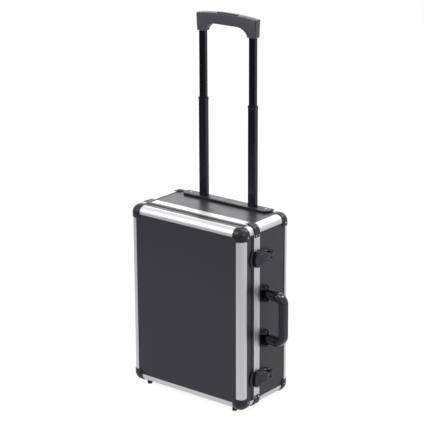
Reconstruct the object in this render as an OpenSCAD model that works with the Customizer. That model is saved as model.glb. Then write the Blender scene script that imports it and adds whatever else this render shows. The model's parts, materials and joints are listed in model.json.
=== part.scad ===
// Hard tool case: an aluminium-framed trolley case that stands upright on two wheels and two feet.
// The front is a hinged lid, held by two lever latches beside a folding side handle,
// and a two-stage telescopic pull handle rises from the top.
// Millimetres, +Z up. The lid faces -Y, the latches are on +X and the hinges on -X.
// The origin lies on the floor, below the middle of the overall bounding box.
// Inside the modules X = 0 is the middle of the case, Y = 0 its front and Z = 0 its underside.

/* [Case] */
// Width of the case over its edge profiles
case_w = 354; // [320:1:420]
// Depth of the closed case
case_d = 192; // [180:1:240]
// Height of the case, without feet
case_h = 470; // [440:1:560]
// Depth of the lid, from the front to the parting line
lid_d = 58; // [54:1:70]
// Height of the case's underside above the floor
foot_h = 10; // [8:0.5:14]

/* [Frame] */
// Outer radius of the quarter-round edge profiles
prof_r = 17; // [15:0.5:17.5]
// Width of an edge profile on each face
prof_w = 19; // [18.5:0.5:22]
// Wall of the profiles' outer skin
prof_t = 1.5; // [1.2:0.1:1.8]
// Wall of the profiles' inner legs
leg_t = 1.3; // [1:0.1:1.6]
// Thickness of the panels
panel_t = 3.5; // [3:0.1:4]
// Width of each rim profile beside the parting line
rim_w = 11; // [10:0.5:14]
// How far the rim profiles stand proud of the edge profiles
rim_proud = 1.2; // [0.8:0.1:1.6]
// Gap between the two rims when the lid is shut
rim_gap = 0.4; // [0.3:0.1:0.8]
// Length of the lip that reaches into the lid
lip_len = 6; // [4:0.5:8]
// Width of the black bead beside the lid's rim
bead_w = 8; // [6:0.5:10]
// Thickness of the bead
bead_t = 1.2; // [0.8:0.1:1.4]

/* [Corners] */
// Radius of the ball corners
ball_r = 23; // [22.5:0.1:24]
// Distance of a ball's centre from each face
ball_in = 20; // [19.5:0.1:20.5]
// Skin of the ball corners over the profiles
ball_t = 1.6; // [1.2:0.1:1.8]
// Reach of a ball corner along each profile
ball_arm = 29.5; // [29:0.5:36]
// How far the rim corners stand proud
rim_cap = 2.8; // [2.2:0.1:3.2]
// Reach of a rim corner along each rim
rim_arm = 28; // [26:0.5:34]
// Radius of a rivet head
rivet_r = 1.8; // [1.6:0.1:2.4]
// Height of a rivet head
rivet_h = 0.7; // [0.6:0.1:1]

/* [Latches] */
// Distance of each latch from the nearer end of the case, but for the drop
latch_in = 78; // [70:1:100]
// Half width of the lever
latch_half = 20; // [18:0.5:24]
// Half width of the lever's knuckle
knuckle_half = 6; // [5:0.5:8]
// Distance of the latch pivot behind the parting line
latch_back = 46; // [44:0.5:50]
// Distance of the latch pivot outside the case's side
latch_out = 8.5; // [8:0.1:9.5]
// Radius of the latch pins
latch_pin_r = 1.5; // [1.2:0.1:2]
// Thickness of the latch base plates
base_t = 2; // [1.6:0.1:2.4]
// Height of the keeper's catch above the case's side
catch_out = 5; // [4.6:0.1:5.4]

/* [Side handle] */
// How far the handle and the latches sit below the middle of the case's height
side_drop = 4.5; // [0:0.5:8]
// Distance of the handle's pivot behind the parting line
handle_back = 27; // [25:0.5:33]
// Distance of the pivot outside the case's side
handle_out = 9; // [8.5:0.1:11]
// Reach of the grip beyond the pivot
handle_reach = 61; // [54:1:68]
// Half height of the grip over its arms
handle_half = 71.5; // [68:0.5:80]
// Thickness of the arms, along Z
arm_t = 26; // [22:0.5:28]
// Thickness of the bar, along X
bar_t = 16; // [14:0.5:18]
// Width of the bar, along Y
bar_w = 30; // [26:0.5:32]
// Radius of the handle pins
handle_pin_r = 2.5; // [2:0.1:3]

/* [Telescope] */
// Distance of each tube from the middle of the case
tube_x = 77.5; // [70:0.5:90]
// Distance of the tubes' middle from the rear face
tube_in = 19.5; // [19.5:0.5:22]
// Width of the middle-stage tubes
mid_w = 23; // [21:0.5:25]
// Depth of the middle-stage tubes
mid_d = 14.5; // [13:0.5:15]
// Wall of the tubes
tube_t = 1; // [0.8:0.1:1.2]
// Gap between one stage and the next, taken up by the bushes
stage_gap = 0.7; // [0.6:0.05:0.9]
// Running clearance in the bushes
slip = 0.1; // [0.05:0.01:0.15]
// Visible length of the middle stage, pulled out
mid_out = 256.5; // [180:0.5:300]
// Visible length of the inner stage, pulled out
inner_out = 169; // [120:1:220]
// Length of tube that stays inside the stage below
overlap = 60; // [50:1:80]
// Height of the collars on the middle stage
collar_h = 8; // [6:0.5:10]

/* [Cover plate] */
// Length of the cover plate
plate_l = 272; // [250:1:290]
// Depth of the cover plate
plate_d = 31; // [29:0.5:34]
// How far the cover plate stands above the case
plate_up = 4; // [3.5:0.5:6]
// Width of the plate's rim behind the tubes' bushes
plate_rim = 1.5; // [1.5:0.1:2.5]
// Distance of the plate's screws from its ends
screw_in = 17; // [14:0.5:20]

/* [Grip] */
// Half length of the grip at its top
grip_half = 91; // [90:0.5:98]
// Depth of the grip
grip_d = 22; // [20:0.5:26]
// Depth of the cover that closes the grip's front
cover_t = 4; // [3:0.5:4.5]
// Height of the grip's middle above its collars
grip_h = 50; // [48:0.5:58]
// Rise of the arched top above its ends
grip_arch = 6; // [5:0.5:8]
// Height of the finger space above the collars
grip_gap = 22; // [20:0.5:23]
// Half length of the release button
button_half = 30; // [20:0.5:34]
// Travel of the release button
button_travel = 4; // [3:0.5:4.5]

/* [Wheels and feet] */
// Radius of the wheels
wheel_r = 28; // [25:0.5:30]
// Width of the wheels
wheel_w = 20; // [16:0.5:24]
// Distance of the wheels' middle from the case's sides
wheel_side = 51; // [47.5:0.5:60]
// Distance of the axle from the rear face
wheel_in = 18; // [18:0.5:22]
// Radius of the axles
axle_r = 3; // [2.5:0.1:3.5]
// Wall of the wheel housings
housing_t = 2; // [1.6:0.1:2.4]
// Clearance round the wheels
wheel_gap = 2; // [1.5:0.1:3]
// Radius of the front feet
foot_r = 6.5; // [5.5:0.1:8]
// Gap between each foot and the ball corner beside it
foot_gap = 0.64; // [0.3:0.02:20]
// Distance of the feet from the front face
foot_back = 20; // [18:0.5:24]

/* [Hinges] */
// Height of each hinge
hinge_h = 60; // [45:1:70]
// Distance of the hinge axis outside the case's side
hinge_out = 5; // [4.8:0.1:5.6]
// Width of each hinge leaf
leaf_w = 25; // [20:0.5:30]
// Thickness of the leaves
leaf_t = 1.5; // [1.2:0.1:1.6]
// Radius of the hinge pins
hinge_pin_r = 1.5; // [1.3:0.1:1.7]
// Outer radius of the knuckles
hinge_knuckle_r = 3.2; // [3:0.1:3.5]

/* [Lining] */
// Thickness of the foam in the lid
foam_t = 10; // [6:0.5:14]
// Thickness of the false back that hides the tubes
back_t = 2; // [1.5:0.1:3]

/* [Hidden] */
$fn = 64;

// Colours as they look on the object.
silver = "#c9cacc";
panel_black = "#39393b";
plastic_black = "#232325";
grip_grey = "#434347";
tube_black = "#1f1f22";
steel = "#9a9b9e";
rubber_black = "#1a1a1b";
foam_grey = "#2c2c2e";

// Where the panels and the profiles' legs lie, measured inwards from a face.
slot_in = prof_t + panel_t;
leg_in = slot_in + leg_t;
lip_clear = 0.4;
lip_in = leg_in + lip_clear;
lip_t = 1.5;
lid_y = lid_d - rim_gap / 2;
body_y = lid_d + rim_gap / 2;
lid_rim_y = lid_y - rim_w;
body_rim_y = body_y + rim_w;
// The rim corners stop a little short of the rims' outer edges, and the short edge profiles end there.
cap_over = -1;
lid_cap_y = lid_rim_y - cap_over;
body_cap_y = body_rim_y + cap_over;
big = 3 * case_h;

// The rivets.
rivet_up = rim_arm - 4.5;
rim_mid = rim_w / 2;

// The latches. The lever's nose swings over the keeper's catch about the latch pin.
pivot_y = lid_d + latch_back;
knuckle_r = latch_out - base_t - rim_proud - 0.3;
nose_gap = 0.3;
nose_t = 3;
catch_y = lid_rim_y - 0.4;
catch_t = 3;
nose_y = catch_y - 0.5 - nose_t;
shell_out = catch_out + 1.75;
hood_out = 13;
hood_drop = 4.5;
hood_y = nose_y + 37;
hood_r = ((hood_y - nose_y) * (hood_y - nose_y) + hood_drop * hood_drop) / (2 * hood_drop);
front_r = 40;
keeper_y = catch_y - 16;
keeper_t = 1.9;
base_y = body_y + 2;
base_end = pivot_y + 8;
base_half = latch_half + 1;
ear_t = 3;
ear_gap = 0.3;
ear_r = 6;
latch_rivet_y = pivot_y - 13;
latch_rivet_z = knuckle_half + 5.5;
base_neck = knuckle_half + ear_gap + ear_t + 2;
pin_slip = 0.05;
rib_w = 2.4;
rib_deep = 1.2;
rib_pitch = 5.5;
rib_n = 4;
rib_front = 8;
rib_len = 36;

// The side handle.
handle_z = case_h / 2 - side_drop;
handle_y = lid_d + handle_back;
cheek_t = 5.5;
cheek_gap = 0.3;
mount_t = 2;
mount_w = 2 * (handle_back - rim_gap / 2 - rim_w) - 0.6;
mount_r = 9;
arm_mid = handle_half - arm_t / 2;
eye_r = handle_out - mount_t - 0.3;
corner_r = 26;
window_r = 10;
flute_r = 1.3;
flute_pitch = 7;

// The telescope, from the outside inwards. Each stage is smaller than the one round it.
tube_y = case_d - tube_in;
bush_t = 1.2;
outer_t = 1.2;
bore_w = mid_w + 2 * (slip + bush_t);
bore_d = mid_d + 2 * (slip + bush_t);
outer_w = bore_w + 2 * outer_t;
outer_d = bore_d + 2 * outer_t;
cav_w = mid_w - 2 * tube_t;
cav_d = mid_d - 2 * tube_t;
inner_w = cav_w - 2 * stage_gap;
inner_d = cav_d - 2 * stage_gap;
core_w = inner_w - 2 * tube_t;
core_d = inner_d - 2 * tube_t;
mid_r = 3;
tube_fit = 0.15;
plate_z = case_h + plate_up;
floor_z = case_h - prof_t;
stop_gap = 1;
mid_top = plate_z + mid_out;
collar_z = mid_top - collar_h;
mid_bottom = plate_z - overlap;
inner_bottom = collar_z - overlap;
guide_h = 18;
bush_h = 20;
skirt_h = 12;
collar_over = 0.4;
outer_bottom = 45;
bracket_h = 16;
bracket_gap = 8;
bracket_up = case_h - 70;
mid_travel = mid_out - collar_h - stop_gap;
inner_travel = inner_out - stop_gap;

// The cover plate.
plate_y = tube_y + bore_d / 2 + plate_rim;
plate_cut = 9;
plate_bevel = 1.5;
screw_x = plate_l / 2 - screw_in;
screw_y = plate_y - 12;
screw_r = 3.2;
screw_h = 1.2;

// The grip.
grip_z = mid_top + inner_out;
grip_top = grip_z + grip_h;
arch_r = (grip_half * grip_half + grip_arch * grip_arch) / (2 * grip_arch);
collar_half = inner_w / 2 + 1.8;
collar_up = 5;
grip_taper = 2.5;
arch_under_r = 38;
under_drop = arch_under_r - grip_gap;
under_low = under_drop + collar_up;
under_x = tube_x - collar_half - sqrt(arch_under_r * arch_under_r - under_low * under_low);
wall_under = 4;
yoke_h = 6;
yoke_gap = 0.5;
yoke_half = tube_x + 4;
yoke_d = 8;
yoke_z = grip_z + grip_gap + wall_under + button_travel + yoke_gap;
inner_top = grip_z + grip_gap + wall_under;
button_gap = 0.3;
button_d = 11;
button_up = 2;
spring_r = 3.2;
spring_wire = 0.5;
spring_z = grip_z + grip_gap + 1.5;
spring_turns = 5;
rod_r = 1.75;
rod_slip = 0.1;
rod_z = inner_bottom + 2 * button_travel;
plug_h = guide_h;
lock_z = inner_bottom + plug_h / 2;
lock_r = 1.8;
lock_slip = 0.1;
lock_in = 3.2;

// The wheels.
wheel_x = case_w / 2 - wheel_side;
wheel_y = case_d - wheel_in;
wheel_z = wheel_r - foot_h;
cavity_r = wheel_r + wheel_gap;
housing_r = cavity_r + housing_t;
housing_half = wheel_w / 2 + wheel_gap + housing_t;
hub_r = wheel_r - 8;
hub_slip = 0.05;
tyre_round = 3;
spoke_n = 5;

// The feet stand beside the ball corners.
foot_in = max(ball_arm, ball_in + sqrt(ball_r * ball_r - ball_in * ball_in)) + foot_gap + foot_r;

// The hinges.
hinge_gap = 0.3;
hinge_inset = 98;
knuckle_clear = 0.8;
leaf_x = hinge_out - rim_proud - leaf_t;
leaf_y = hinge_knuckle_r + knuckle_clear;
hinge_third = hinge_h / 6;

// The lining.
lining_gap = 1.7;
back_y = tube_y - outer_d / 2 - 3 - back_t;

// The origin is below the middle of the bounding box.
reach_right = case_w / 2 + handle_out + handle_reach;
reach_left = case_w / 2 + hinge_out + hinge_knuckle_r;
reach_front = ball_r - ball_in;
reach_back = max(case_d - wheel_in + wheel_r, case_d + ball_r - ball_in);
mid_x = (reach_right - reach_left) / 2;
mid_y = (reach_back - reach_front) / 2;

module place() {
  translate([-mid_x, -mid_y, foot_h]) children();
}

// Extrude a section along X: its x runs along Y and its y along Z.
module along_x(len) {
  rotate([90, 0, 90]) linear_extrude(len) children();
}

// Extrude a section along +Y: its x runs along X and its y along Z.
module along_y(len) {
  rotate([90, 0, 0]) translate([0, 0, -len]) linear_extrude(len) children();
}

// Copies for the left and right sides, with +x inwards from the side's face.
module left_right() {
  for (m = [0, 1]) mirror([m, 0, 0]) translate([-case_w / 2, 0, 0]) children();
}

// The right side alone, with +x outwards from the side's face.
module right_side() {
  translate([case_w / 2, 0, 0]) children();
}

// Copies for the bottom and top, with +z inwards.
module bottom_top() {
  for (m = [0, 1]) translate([0, 0, m * case_h]) mirror([0, 0, m]) children();
}

// The same for a rear face, with +y inwards.
module rear() {
  translate([0, case_d, 0]) mirror([0, 1, 0]) children();
}

// Swap a section's x and y.
module swapped(m = 1) {
  mirror([m, -m, 0]) children();
}

module rounded(w, d, r) {
  square([w - 2 * r, d], center = true);
  square([w, d - 2 * r], center = true);
  for (x = [-1, 1], y = [-1, 1]) translate([x * (w / 2 - r), y * (d / 2 - r)]) circle(r = r);
}

// A domed head that stands on z = 0.
module dome(r, h) {
  sphere_r = (r * r + h * h) / (2 * h);
  intersection() {
    translate([0, 0, h - sphere_r]) sphere(r = sphere_r);
    cylinder(r = r, h = h);
  }
}

// The outline of the closed case at one edge: a quadrant with its corner rounded.
module quadrant(r = prof_r) {
  translate([r, 0]) square(big);
  translate([0, r]) square(big);
  translate([r, r]) circle(r = r);
}

// The frame.

// Section of a quarter-round edge profile, with slots for the two panels.
module edge_section() {
  intersection() {
    difference() {
      translate([prof_r, prof_r]) circle(r = prof_r);
      translate([prof_r, prof_r]) circle(r = prof_r - prof_t);
    }
    square(prof_r);
  }
  for (m = [0, 1]) swapped(m) {
    translate([prof_r, 0]) square([prof_w - prof_r, prof_t]);
    translate([slot_in, slot_in]) square([prof_w - slot_in, leg_t]);
  }
}

// Four profiles round one face.
module face_frame() {
  bottom_top() translate([-(case_w / 2 - prof_w), 0, 0]) along_x(case_w - 2 * prof_w) edge_section();
  left_right() translate([0, 0, prof_w]) linear_extrude(case_h - 2 * prof_w) edge_section();
}

module edge_profiles(y0, y1) {
  left_right() bottom_top() translate([0, y0, 0]) along_y(y1 - y0) edge_section();
}

// Section of a rim: x is the depth below the face, y the distance from the parting line.
module rim_section() {
  bevel = 0.6;
  polygon([
    [prof_t, 0], [bevel - rim_proud, 0], [-rim_proud, bevel], [-rim_proud, rim_w - bevel],
    [bevel - rim_proud, rim_w], [prof_t, rim_w]
  ]);
  square([leg_in, prof_t]);
  translate([slot_in, 0]) square([leg_t, rim_w]);
}

module lid_rim_section() {
  translate([0, lid_y]) mirror([0, 1]) rim_section();
}

module body_rim_section() {
  translate([0, body_y]) {
    rim_section();
    square([lip_in + lip_t, prof_t]);
    translate([lip_in, -lip_len]) square([lip_t, lip_len + prof_t]);
  }
}

// Four rims round the case, each from corner to corner.
module rims(side) {
  bottom_top() translate([-(case_w / 2 - prof_w), 0, 0]) along_x(case_w - 2 * prof_w) swapped() rim_of(side);
  left_right() translate([0, 0, prof_w]) linear_extrude(case_h - 2 * prof_w) rim_of(side);
}

module rim_of(side) {
  if (side == "lid") lid_rim_section();
  if (side == "body") body_rim_section();
}

// Section of a rim corner: it fills the corner of the frame and caps the ends of the rims.
module rim_corner_section() {
  difference() {
    union() {
      intersection() {
        translate([prof_r, prof_r]) circle(r = prof_r + rim_cap);
        translate([-rim_cap, -rim_cap]) square(prof_w + rim_cap);
      }
      for (m = [0, 1]) swapped(m) translate([prof_r, -rim_cap]) square([rim_arm - prof_r, rim_cap - rim_proud]);
    }
    translate([leg_in, leg_in]) square(big);
    for (m = [0, 1]) swapped(m) translate([prof_r, prof_t]) square([big, panel_t]);
  }
}

module rim_corners(y0, y1) {
  left_right() bottom_top() translate([0, y0, 0]) along_y(y1 - y0) rim_corner_section();
}

// A ball corner, with its planes at x = 0, y = 0 and z = 0. It fills the corner of the frame.
module ball_corner() {
  difference() {
    union() {
      translate([ball_in, ball_in, ball_in]) sphere(r = ball_r);
      translate([prof_w, 0, 0]) along_x(ball_arm - prof_w) ball_arm_section();
      translate([0, prof_w, 0]) along_y(ball_arm - prof_w) ball_arm_section();
      translate([0, 0, prof_w]) linear_extrude(ball_arm - prof_w) ball_arm_section();
    }
    translate([prof_w, 0, 0]) along_x(big) quadrant();
    translate([0, prof_w, 0]) along_y(big) quadrant();
    translate([0, 0, prof_w]) linear_extrude(big) quadrant();
    // Room for the corners of the three panels.
    translate([prof_r, prof_r, prof_t]) cube([big, big, panel_t]);
    translate([prof_r, prof_t, prof_r]) cube([big, panel_t, big]);
    translate([prof_t, prof_r, prof_r]) cube([panel_t, big, big]);
  }
}

module ball_arm_section() {
  intersection() {
    translate([prof_r, prof_r]) circle(r = prof_r + ball_t);
    translate([-ball_t, -ball_t]) square(prof_w + ball_t);
  }
}

module rivet() {
  rotate([0, 90, 0]) dome(rivet_r, rivet_h);
}

// Rivets at a corner of the case's sides, pointing outwards.
module ball_rivets() {
  left_right() bottom_top() translate([ball_in - ball_r, ball_in, ball_in]) mirror([1, 0, 0]) rivet();
}

module rim_rivets(y) {
  left_right() bottom_top() translate([-rim_cap, y, rivet_up]) mirror([1, 0, 0]) rivet();
}

// Two latch rivets, on a plate whose top is x out.
module plate_rivets(z, x, y, half) {
  right_side() for (s = [-1, 1]) translate([x, y, z + s * half]) rivet();
}

function latch_z(upper) = handle_z + (upper ? 1 : -1) * (case_h / 2 - latch_in);

// The lid.

module lid_panel() {
  color(panel_black) place() translate([-(case_w / 2 - prof_r), prof_t, prof_r])
    cube([case_w - 2 * prof_r, panel_t, case_h - 2 * prof_r]);
}

module lid_side_panels() {
  len = lid_y - prof_t - prof_r;
  color(panel_black) place() {
    left_right() translate([prof_t, prof_r, prof_r]) cube([panel_t, len, case_h - 2 * prof_r]);
    bottom_top() translate([-(case_w / 2 - prof_r), prof_r, prof_t]) cube([case_w - 2 * prof_r, len, panel_t]);
  }
}

module lid_front_profiles() {
  color(silver) place() face_frame();
}

module lid_edge_profiles() {
  color(silver) place() edge_profiles(prof_w, lid_cap_y);
}

module lid_rim_profiles() {
  color(silver) place() rims("lid");
}

module lid_bead() {
  y0 = lid_rim_y - bead_w;
  color(plastic_black) place() {
    left_right() translate([prof_t - bead_t, y0, prof_w]) cube([bead_t, bead_w, case_h - 2 * prof_w]);
    bottom_top() translate([-(case_w / 2 - prof_w), y0, prof_t - bead_t])
      cube([case_w - 2 * prof_w, bead_w, bead_t]);
  }
}

module lid_ball_corners() {
  color(plastic_black) place() left_right() bottom_top() ball_corner();
}

module lid_rim_corners() {
  color(plastic_black) place() rim_corners(lid_cap_y, lid_y);
}

module lid_rivets() {
  color(steel) place() {
    ball_rivets();
    rim_rivets(lid_y - rim_mid);
    hinge_rivets(0);
  }
}

module lid_foam() {
  low = prof_w + lining_gap;
  half = case_w / 2 - low;
  color(foam_grey) place() translate([-half, slot_in, low]) cube([2 * half, foam_t, case_h - 2 * low]);
}

module front_feet() {
  color(rubber_black) place() for (s = [-1, 1]) difference() {
    translate([s * (case_w / 2 - foot_in), foot_back, -foot_h]) cylinder(r = foot_r, h = foot_h + prof_t);
    translate([-case_w / 2, 0, 0]) along_x(case_w) intersection() {
      quadrant();
      square([prof_w, case_h]);
    }
  }
}

// The plate on the lid that the latch's nose hooks over.
module keeper(z) {
  right_side() translate([0, 0, z]) intersection() {
    linear_extrude(4 * latch_half, center = true) polygon([
      [-prof_t, keeper_y], [-prof_t, lid_rim_y - bead_w], [bead_t - prof_t, lid_rim_y - bead_w],
      [bead_t - prof_t, lid_rim_y], [rim_proud, lid_rim_y], [rim_proud, catch_y + catch_t],
      [catch_out, catch_y + catch_t], [catch_out, catch_y], [keeper_t, catch_y], [keeper_t, keeper_y]
    ]);
    translate([-prof_t, 0, 0]) rotate([90, 0, 90]) linear_extrude(big) intersection() {
      translate([keeper_y + front_r * 0.75, 0]) circle(r = front_r * 0.75);
      translate([keeper_y, -latch_half]) square([big, 2 * latch_half]);
    }
  }
}

module upper_keeper() {
  color(plastic_black) place() keeper(latch_z(true));
}

module lower_keeper() {
  color(plastic_black) place() keeper(latch_z(false));
}

// The hinges. The axis runs up the left side, outside the parting line.
module at_hinges() {
  translate([-case_w / 2 - hinge_out, lid_d, 0])
    for (z = [hinge_inset, case_h - hinge_inset]) translate([0, 0, z]) children();
}

// Section of a leaf, with y away from the axis: it steps over the rim and bead onto the panel.
module leaf_section(side) {
  difference() {
    translate([leaf_x, leaf_y]) square([hinge_out + prof_t - leaf_x, leaf_w]);
    translate([hinge_out - rim_proud, 0]) square([big, rim_gap / 2 + rim_w]);
    if (side == 0) translate([hinge_out + prof_t - bead_t, 0]) square([big, rim_gap / 2 + rim_w + bead_w]);
  }
}

// One leaf, of the lid (0) or the body (1), with knuckles between the given heights.
module leaf(side, knuckles, bore) {
  mirror([0, 1 - side, 0]) difference() {
    union() {
      linear_extrude(hinge_h, center = true) leaf_section(side);
      for (k = knuckles) translate([0, 0, k[0]]) {
        cylinder(r = hinge_knuckle_r, h = k[1] - k[0]);
        translate([leaf_x, 0, 0]) cube([leaf_t, leaf_y + 1, k[1] - k[0]]);
      }
    }
    translate([0, 0, -hinge_h]) cylinder(r = bore, h = 2 * hinge_h);
  }
}

module hinge_rivets(side) {
  at_hinges() mirror([0, 1 - side, 0]) for (z = [-1, 1])
    translate([leaf_x, leaf_y + leaf_w - 5, z * 2 * hinge_third]) mirror([1, 0, 0]) rivet();
}

module lid_hinge_leaves() {
  color(steel) place() at_hinges() leaf(
    0,
    [[-hinge_h / 2, -hinge_third - hinge_gap], [hinge_third + hinge_gap, hinge_h / 2]],
    hinge_pin_r + pin_slip
  );
}

module body_hinge_leaves() {
  color(steel) place() at_hinges() leaf(1, [[-hinge_third, hinge_third]], hinge_pin_r);
}

module hinge_pins() {
  color(steel) place() at_hinges() translate([0, 0, -hinge_h / 2]) cylinder(r = hinge_pin_r, h = hinge_h);
}

// The body's shell.

// The space that a wheel housing takes from the panels and profiles.
module housing_spaces() {
  for (s = [-1, 1]) translate([s * wheel_x - housing_half, wheel_y - housing_r, -1])
    cube([2 * housing_half, big, wheel_z + housing_r + 1]);
}

// The space that the fixed tubes take at the top of the case.
module tube_spaces() {
  at_tubes() translate([0, 0, case_h / 2]) linear_extrude(big)
    rounded(outer_w + 2 * tube_fit, outer_d + 2 * tube_fit, mid_r + bush_t + outer_t);
}

module back_panel() {
  color(panel_black) place() difference() {
    translate([-(case_w / 2 - prof_r), case_d - slot_in, prof_r])
      cube([case_w - 2 * prof_r, panel_t, case_h - 2 * prof_r]);
    housing_spaces();
  }
}

module flat_panel() {
  y0 = body_y + prof_t;
  translate([-(case_w / 2 - prof_r), y0, prof_t]) cube([case_w - 2 * prof_r, case_d - prof_r - y0, panel_t]);
}

module top_panel() {
  color(panel_black) place() difference() {
    translate([0, 0, case_h]) mirror([0, 0, 1]) flat_panel();
    tube_spaces();
  }
}

module bottom_panel() {
  color(panel_black) place() difference() {
    flat_panel();
    housing_spaces();
  }
}

module side_panels() {
  y0 = body_y + prof_t;
  color(panel_black) place() left_right() translate([prof_t, y0, prof_r])
    cube([panel_t, case_d - prof_r - y0, case_h - 2 * prof_r]);
}

module rear_profiles() {
  color(silver) place() difference() {
    rear() face_frame();
    housing_spaces();
    tube_spaces();
  }
}

module body_edge_profiles() {
  color(silver) place() edge_profiles(body_cap_y, case_d - prof_w);
}

module body_rim_profiles() {
  color(silver) place() rims("body");
}

module body_ball_corners() {
  color(plastic_black) place() rear() left_right() bottom_top() ball_corner();
}

module body_rim_corners() {
  color(plastic_black) place() rim_corners(body_y, body_cap_y);
}

module body_rivets() {
  color(steel) place() {
    rear() ball_rivets();
    rim_rivets(body_y + rim_mid);
    for (u = [false, true]) plate_rivets(latch_z(u), base_t + rim_proud, latch_rivet_y, latch_rivet_z);
    hinge_rivets(1);
  }
}

module false_back() {
  half = case_w / 2 - lip_in - lip_t - lining_gap;
  low = slot_in + lining_gap;
  color(foam_grey) place() difference() {
    translate([-half, back_y, low]) cube([2 * half, back_t, case_h - 2 * low]);
    housing_spaces();
  }
}

// The latches.

// The base's outline: wide beside the rim and narrow behind the ears.
module base_outline() {
  polygon([
    [base_y, -base_half], [base_y + 8, -base_half], [base_end - 3, -base_neck], [base_end, 3 - base_neck],
    [base_end, base_neck - 3], [base_end - 3, base_neck], [base_y + 8, base_half], [base_y, base_half]
  ]);
}

// The base: a plate on the rim and the panel, with two ears for the pin.
module latch_base(z) {
  top = base_t + rim_proud;
  right_side() translate([0, 0, z]) difference() {
    union() {
      intersection() {
        linear_extrude(4 * latch_half, center = true) polygon([
          [rim_proud, base_y], [rim_proud, body_rim_y], [-prof_t, body_rim_y], [-prof_t, base_end],
          [top, base_end], [top, base_y]
        ]);
        translate([-prof_t, 0, 0]) rotate([90, 0, 90]) linear_extrude(big)
          base_outline();
      }
      for (s = [-1, 1]) translate([0, 0, s * (knuckle_half + ear_gap + ear_t / 2)])
        linear_extrude(ear_t, center = true) {
          translate([latch_out, pivot_y]) circle(r = ear_r);
          translate([top, pivot_y - ear_r]) square([latch_out - top, 2 * ear_r]);
        }
    }
    translate([latch_out, pivot_y, -latch_half]) cylinder(r = latch_pin_r, h = 2 * latch_half);
  }
}

module upper_latch_base() {
  color(plastic_black) place() latch_base(latch_z(true));
}

module lower_latch_base() {
  color(plastic_black) place() latch_base(latch_z(false));
}

module latch_pins() {
  half = knuckle_half + ear_gap + ear_t;
  color(steel) place() for (u = [false, true]) right_side()
    translate([latch_out, pivot_y, latch_z(u) - half]) cylinder(r = latch_pin_r, h = 2 * half);
}

// The lever's side view: an arched hood with a nose in front and a knuckle round the pin.
module lever_side() {
  difference() {
    union() {
      intersection() {
        translate([hood_out - hood_r, hood_y]) circle(r = hood_r, $fn = 180);
        translate([shell_out, nose_y]) square([big, pivot_y - nose_y]);
      }
      translate([catch_out + nose_gap, nose_y]) square([shell_out - catch_out, nose_t]);
      translate([latch_out, pivot_y]) circle(r = knuckle_r);
    }
    translate([latch_out, pivot_y]) circle(r = latch_pin_r + pin_slip);
  }
}

// The lever's outline from the side of the case: wide in front, narrow at the knuckle.
module lever_outline() {
  waist = pivot_y - ear_r - 2;
  taper = waist - nose_y - 22;
  intersection() {
    translate([nose_y + front_r, 0]) circle(r = front_r);
    translate([nose_y, -latch_half]) square([22, 2 * latch_half]);
  }
  translate([waist - taper, 0]) polygon([
    [0, -latch_half], [taper, -knuckle_half], [taper, knuckle_half], [0, latch_half]
  ]);
  translate([waist, -knuckle_half]) square([big, 2 * knuckle_half]);
}

// Grooves along the hood, of one depth below its arch.
module lever_grooves() {
  intersection() {
    translate([hood_out - hood_r, hood_y, -latch_half]) difference() {
      cylinder(r = hood_r + 1, h = 2 * latch_half, $fn = 180);
      translate([0, 0, -1]) cylinder(r = hood_r - rib_deep, h = 2 * latch_half + 2, $fn = 180);
    }
    for (i = [0 : rib_n - 1])
      translate([0, nose_y + rib_front, (i - (rib_n - 1) / 2) * rib_pitch - rib_w / 2])
        cube([big, rib_len, rib_w]);
  }
}

module latch_lever(z) {
  right_side() translate([0, 0, z]) difference() {
    intersection() {
      linear_extrude(4 * latch_half, center = true) lever_side();
      rotate([90, 0, 90]) linear_extrude(big) lever_outline();
    }
    lever_grooves();
  }
}

module upper_latch_lever() {
  color(plastic_black) place() latch_lever(latch_z(true));
}

module lower_latch_lever() {
  color(plastic_black) place() latch_lever(latch_z(false));
}

// The side handle.

// A bracket: a back plate with two cheeks that hold the pin above and below the arm.
module handle_mount(side) {
  half = arm_t / 2 + cheek_gap + cheek_t;
  right_side() translate([-prof_t, handle_y, handle_z + side * arm_mid]) difference() {
    union() {
      translate([0, -mount_w / 2, -half]) cube([prof_t + mount_t, mount_w, 2 * half]);
      for (s = [-1, 1]) translate([0, 0, s * (half - cheek_t / 2)])
        linear_extrude(cheek_t, center = true) {
          translate([prof_t + handle_out, 0]) circle(r = mount_r);
          translate([0, -mount_w / 2]) polygon([
            [0, 0], [prof_t + mount_t, 0], [prof_t + handle_out, mount_w / 2 - mount_r],
            [prof_t + handle_out, mount_w / 2 + mount_r], [prof_t + mount_t, mount_w], [0, mount_w]
          ]);
        }
    }
    translate([prof_t + handle_out, 0, -half - 1]) cylinder(r = handle_pin_r, h = 2 * half + 2);
  }
}

module upper_handle_mount() {
  color(plastic_black) place() handle_mount(1);
}

module lower_handle_mount() {
  color(plastic_black) place() handle_mount(-1);
}

module handle_pins() {
  half = arm_t / 2 + cheek_gap + cheek_t;
  color(steel) place() right_side() for (s = [-1, 1])
    translate([handle_out, handle_y, handle_z + s * arm_mid - half]) cylinder(r = handle_pin_r, h = 2 * half);
}

// The grip from the front: a U whose arms end round the pins.
module handle_front() {
  tall = 2 * handle_half;
  difference() {
    intersection() {
      translate([-eye_r, -handle_half]) square([handle_reach + eye_r, tall]);
      translate([handle_reach / 2 - corner_r, 0]) rounded(handle_reach + 2 * corner_r, tall, corner_r);
    }
    translate([-eye_r - 10, 0]) intersection() {
      rounded(2 * (handle_reach - bar_t + eye_r + 10), tall - 2 * arm_t, window_r);
      translate([0, -tall / 2]) square([big, tall]);
    }
  }
}

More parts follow.
